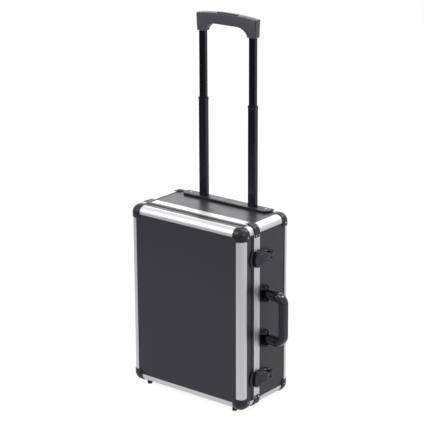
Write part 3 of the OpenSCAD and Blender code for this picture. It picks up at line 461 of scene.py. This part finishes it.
def heads_of(name):
    """Where a node's domed heads stand: the middle of each flat underside and the way it faces."""
    work = bmesh.new()
    work.from_mesh(NODES[name].data)
    bmesh.ops.remove_doubles(work, verts=work.verts, dist=0.005 * MM)
    work.faces.ensure_lookup_table()
    seen, places = set(), []
    for start in work.faces:
        if start.index in seen:
            continue
        stack, island = [start], []
        seen.add(start.index)
        while stack:
            face = stack.pop()
            island.append(face)
            for edge in face.edges:
                for other in edge.link_faces:
                    if other.index not in seen:
                        seen.add(other.index)
                        stack.append(other)
        flats = {}
        for face in island:
            key = tuple(round(v, 2) for v in face.normal)
            flats.setdefault(key, []).append(face)
        under = max(flats.values(), key=lambda faces: sum(f.calc_area() for f in faces))
        area = sum(f.calc_area() for f in under)
        centre = sum((f.calc_center_median() * f.calc_area() for f in under), Vector()) / area
        places.append((centre, -under[0].normal))
    work.free()
    return places


def head_tree(name, finish, recess):
    """Geometry nodes that stand one head on each point: a domed rivet, or a screw with a cross recess."""
    tree = bpy.data.node_groups.new(name, "GeometryNodeTree")
    tree.interface.new_socket("Geometry", in_out="INPUT", socket_type="NodeSocketGeometry")
    for label in ("Head radius", "Head height"):
        tree.interface.new_socket(label, in_out="INPUT", socket_type="NodeSocketFloat")
    tree.interface.new_socket("Geometry", in_out="OUTPUT", socket_type="NodeSocketGeometry")
    given = add(tree, "NodeGroupInput")
    radius, height = given.outputs["Head radius"], given.outputs["Head height"]
    ball = add(tree, "GeometryNodeMeshUVSphere", Segments=28, Rings=14, Radius=1.0)
    size = add(tree, "ShaderNodeCombineXYZ", {"X": radius, "Y": radius, "Z": height})
    head = add(tree, "GeometryNodeTransform", {"Geometry": ball.outputs["Mesh"], "Scale": size.outputs[0]})
    if recess:
        length = add(tree, "ShaderNodeMath", {0: radius}, operation="MULTIPLY")
        length.inputs[1].default_value = 1.1
        narrow = add(tree, "ShaderNodeMath", {0: radius}, operation="MULTIPLY")
        narrow.inputs[1].default_value = 0.22
        lift = add(tree, "ShaderNodeCombineXYZ", {"Z": height})
        arms = []
        for x, y in ((length, narrow), (narrow, length)):
            block = add(tree, "ShaderNodeCombineXYZ", {"X": x.outputs[0], "Y": y.outputs[0], "Z": height})
            cube = add(tree, "GeometryNodeMeshCube", {"Size": block.outputs[0]})
            arms.append(add(
                tree, "GeometryNodeTransform",
                {"Geometry": cube.outputs["Mesh"], "Translation": lift.outputs[0]},
            ))
        cut = add(tree, "GeometryNodeMeshBoolean", {0: head.outputs[0]}, operation="DIFFERENCE")
        for arm in arms:
            tree.links.new(arm.outputs[0], cut.inputs[1])
        shape = cut.outputs["Mesh"]
    else:
        core = add(tree, "ShaderNodeMath", {0: radius}, operation="MULTIPLY")
        core.inputs[1].default_value = 0.36
        tall = add(tree, "ShaderNodeMath", {0: height}, operation="MULTIPLY")
        tall.inputs[1].default_value = 2.1
        mandrel = add(tree, "GeometryNodeMeshCylinder", {"Radius": core.outputs[0], "Depth": tall.outputs[0]}, Vertices=16)
        both = add(tree, "GeometryNodeJoinGeometry")
        tree.links.new(mandrel.outputs["Mesh"], both.inputs[0])
        tree.links.new(head.outputs[0], both.inputs[0])
        shape = both.outputs[0]
    smooth = add(tree, "GeometryNodeSetShadeSmooth", {"Geometry": shape})
    outward = add(tree, "GeometryNodeInputNamedAttribute", {}, data_type="FLOAT_VECTOR")
    outward.inputs["Name"].default_value = "outward"
    turn = add(tree, "FunctionNodeAlignRotationToVector", {"Vector": outward.outputs["Attribute"]}, axis="Z")
    stood = add(
        tree, "GeometryNodeInstanceOnPoints",
        {"Points": given.outputs["Geometry"], "Instance": smooth.outputs[0], "Rotation": turn.outputs[0]},
    )
    real = add(tree, "GeometryNodeRealizeInstances", {"Geometry": stood.outputs[0]})
    painted = add(tree, "GeometryNodeSetMaterial", {"Geometry": real.outputs[0]}, Material=finish)
    add(tree, "NodeGroupOutput", {"Geometry": painted.outputs[0]})
    return tree


def heads(name, finish, radius_mm, height_mm, recess=False):
    places = heads_of(name)
    data = bpy.data.meshes.new(name + "_points")
    data.from_pydata([tuple(place) for place, _ in places], [], [])
    outward = data.attributes.new("outward", "FLOAT_VECTOR", "POINT")
    outward.data.foreach_set("vector", [v for _, way in places for v in way])
    points = link(name + "_points", data)
    tree = head_tree(name + "_heads", finish, recess)
    modifier = points.modifiers.new("heads", "NODES")
    modifier.node_group = tree
    sizes = {"Head radius": radius_mm * MM, "Head height": height_mm * MM}
    for socket in tree.interface.items_tree:
        if socket.name in sizes:
            modifier[socket.identifier] = sizes[socket.name]
    graph = bpy.context.evaluated_depsgraph_get()
    made = bpy.data.meshes.new_from_object(points.evaluated_get(graph))
    made.name = name + "_heads"
    points.modifiers.clear()
    bpy.data.objects.remove(points)
    piece = link(name + "_heads", made)
    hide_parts(name)
    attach(piece, BODY_OF[name])


def egg_crate_foam():
    """The lid's foam: a convoluted sheet with its bumps towards the tools."""
    low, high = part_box("lid_foam")
    pitch, back, step = 32.0 * MM, 4.0 * MM, 4.0 * MM
    nx, nz = round((high.x - low.x) / step), round((high.z - low.z) / step)
    work = bmesh.new()
    front, rear = [], []
    for j in range(nz + 1):
        for i in range(nx + 1):
            x = low.x + (high.x - low.x) * i / nx
            z = low.z + (high.z - low.z) * j / nz
            wave = math.sin(2 * math.pi * (x - low.x) / pitch) * math.sin(2 * math.pi * (z - low.z) / pitch)
            rise = back + (high.y - low.y - back) * (0.5 + 0.5 * wave)
            edge = min(x - low.x, high.x - x, z - low.z, high.z - z) / (6 * MM)
            rise = back + (rise - back) * min(1.0, edge + 0.35)
            front.append(work.verts.new((x, low.y + rise, z)))
            rear.append(work.verts.new((x, low.y, z)))
    wide = nx + 1
    for j in range(nz):
        for i in range(nx):
            a = j * wide + i
            quad = (a, a + 1, a + 1 + wide, a + wide)
            work.faces.new([front[k] for k in quad])
            work.faces.new([rear[k] for k in reversed(quad)])
    rim = [i for i in range(nx)] + [j * wide + nx for j in range(nz)]
    rim += [nz * wide + i for i in range(nx, 0, -1)] + [j * wide for j in range(nz, 0, -1)]
    for a, b in zip(rim, rim[1:] + rim[:1]):
        work.faces.new((front[a], front[b], rear[b], rear[a]))
    bmesh.ops.recalc_face_normals(work, faces=work.faces)
    data = bpy.data.meshes.new("lid_egg_crate")
    work.to_mesh(data)
    work.free()
    data.materials.append(FOAM)
    data.shade_smooth()
    piece = link("lid_egg_crate", data)
    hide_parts("lid_foam")
    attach(piece, "lid")


# Studio


CAMERA_TURN, CAMERA_RISE, CAMERA_ROLL = (math.radians(a) for a in (38.59, 17.73, -0.3))
VIEWER_SIDE = (math.sin(CAMERA_TURN), -math.cos(CAMERA_TURN), 0.0)
FRONT_LEFT = (-VIEWER_SIDE[0], VIEWER_SIDE[1], 0.0)


def either(tree, first, second):
    return add(tree, "ShaderNodeMath", {0: first, 1: second}, operation="MAXIMUM").outputs[0]


def studio():
    """A white floor in a white room, whose near side, behind the viewer, is dark to glossy surfaces."""
    world = bpy.data.worlds.new("white_surround")
    bpy.context.scene.world = world
    world.use_nodes = True
    tree = world.node_tree
    tree.nodes.clear()
    path = add(tree, "ShaderNodeLightPath")
    plain = either(tree, path.outputs["Is Camera Ray"], path.outputs["Is Transmission Ray"])
    level = add(tree, "ShaderNodeMapRange", {"Value": plain}, To_Min=0.62, To_Max=1.0)
    way = add(tree, "ShaderNodeTexCoord")
    near = add(tree, "ShaderNodeVectorMath", {0: way.outputs["Generated"]}, operation="DOT_PRODUCT")
    near.inputs[1].default_value = VIEWER_SIDE
    dim = add(
        tree, "ShaderNodeMapRange", {"Value": near.outputs["Value"]},
        From_Min=0.5, From_Max=0.95, To_Min=1.0, To_Max=0.42,
    )
    strength = add(
        tree, "ShaderNodeMix",
        {0: path.outputs["Is Glossy Ray"], 2: level.outputs["Result"], 3: dim.outputs["Result"]},
    )
    sky = add(tree, "ShaderNodeBackground", {"Strength": strength.outputs[0]}, Color=(1, 1, 1, 1))
    add(tree, "ShaderNodeOutputWorld", {"Surface": sky.outputs[0]})

    half = 30.0
    data = bpy.data.meshes.new("floor")
    corners = [(x * half, y * half, FLOOR_Z) for x, y in ((-1, -1), (1, -1), (1, 1), (-1, 1))]
    data.from_pydata(corners, [], [(0, 1, 2, 3)])
    floor = link("floor", data)
    white = bpy.data.materials.new("matt_white_floor")
    white.use_nodes = True
    tree = white.node_tree
    tree.nodes.clear()
    matt = add(tree, "ShaderNodeBsdfDiffuse", Color=srgb("#f4f4f4"))
    path = add(tree, "ShaderNodeLightPath")
    coords = add(tree, "ShaderNodeTexCoord")
    near = add(tree, "ShaderNodeVectorMath", {0: coords.outputs["Object"]}, operation="DOT_PRODUCT")
    near.inputs[1].default_value = VIEWER_SIDE
    dim = add(
        tree, "ShaderNodeMapRange", {"Value": near.outputs["Value"]},
        From_Min=0.3, From_Max=0.9, To_Min=0.84, To_Max=0.7,
    )
    far = add(tree, "ShaderNodeVectorMath", {0: coords.outputs["Object"]}, operation="DOT_PRODUCT")
    far.inputs[1].default_value = FRONT_LEFT
    fall = add(
        tree, "ShaderNodeMapRange", {"Value": far.outputs["Value"]},
        From_Min=1.35, From_Max=2.1, To_Min=1.0, To_Max=0.1,
    )
    seen = add(
        tree, "ShaderNodeMath", {0: dim.outputs["Result"], 1: fall.outputs["Result"]}, operation="MULTIPLY"
    )
    strength = add(tree, "ShaderNodeMix", {0: path.outputs["Is Glossy Ray"], 3: seen.outputs[0]})
    strength.inputs[2].default_value = 1.07
    glow = add(tree, "ShaderNodeEmission", {"Strength": strength.outputs[0]}, Color=(1, 1, 1, 1))
    share = add(tree, "ShaderNodeMath", {0: path.outputs["Is Camera Ray"]}, operation="MULTIPLY")
    share.inputs[1].default_value = 0.85
    bent = either(tree, path.outputs["Is Glossy Ray"], path.outputs["Is Transmission Ray"])
    share = either(tree, share.outputs[0], bent)
    mix = add(tree, "ShaderNodeMixShader", {0: share, 1: matt.outputs[0], 2: glow.outputs[0]})
    add(tree, "ShaderNodeOutputMaterial", {"Surface": mix.outputs[0]})
    data.materials.append(white)


def lamp(name, place, target, size, power):
    data = bpy.data.lights.new(name, "AREA")
    data.shape = "SQUARE"
    data.size = size
    data.energy = power
    made = bpy.data.objects.new(name, data)
    bpy.context.scene.collection.objects.link(made)
    made.location = place
    made.rotation_euler = (target - place).to_track_quat("-Z", "Y").to_euler()
    return made


def lamps():
    middle = spot(0, 100, 300)
    lamp("key_softbox", middle + Vector((-1.2, -2.2, 2.2)), middle, 1.0, 32)
    lamp("side_softbox", middle + Vector((2.6, -0.4, 1.6)), middle, 0.8, 12)
    lamp("top_softbox", middle + Vector((0.5, 0.8, 2.2)), middle, 1.0, 15)
    lamp("rim_softbox", middle + Vector((0.9, 2.2, 1.8)), middle, 0.45, 12)
    lamp("back_softbox", middle + Vector((-2.4, 3.0, 1.7)), middle, 3.0, 34)


def camera():
    """The photograph's own viewpoint, fitted to the edges of the case."""
    azimuth, elevation, roll = CAMERA_TURN, CAMERA_RISE, CAMERA_ROLL
    focal_share = 1719.1 / 424
    data = bpy.data.cameras.new("photo_camera")
    data.sensor_width = 36
    data.lens = focal_share * data.sensor_width
    data.clip_end = 200
    made = bpy.data.objects.new("photo_camera", data)
    bpy.context.scene.collection.objects.link(made)
    back = Vector((
        math.sin(azimuth) * math.cos(elevation), -math.cos(azimuth) * math.cos(elevation),
        math.sin(elevation),
    ))
    right = Vector((math.cos(azimuth), math.sin(azimuth), 0))
    up = back.cross(right)
    turned_right = right * math.cos(roll) + up * math.sin(roll)
    turned_up = up * math.cos(roll) - right * math.sin(roll)
    rotation = Matrix((turned_right, turned_up, back)).transposed().to_4x4()
    made.matrix_world = Matrix.Translation(spot(2546.7, -3084.6, 1763.9)) @ rotation
    bpy.context.scene.camera = made


camera()
paint_frame()
for node_name, edge in SOFTENED.items():
    softened(node_name, edge)
carry_handle()
heads("lid_rivets", RIVET, 1.8, 0.7)
heads("body_rivets", RIVET, 1.8, 0.7)
heads("cover_plate_screws", STEEL, 3.2, 1.2, recess=True)
egg_crate_foam()
studio()
lamps()
bpy.context.scene.view_settings.view_transform = "Standard"
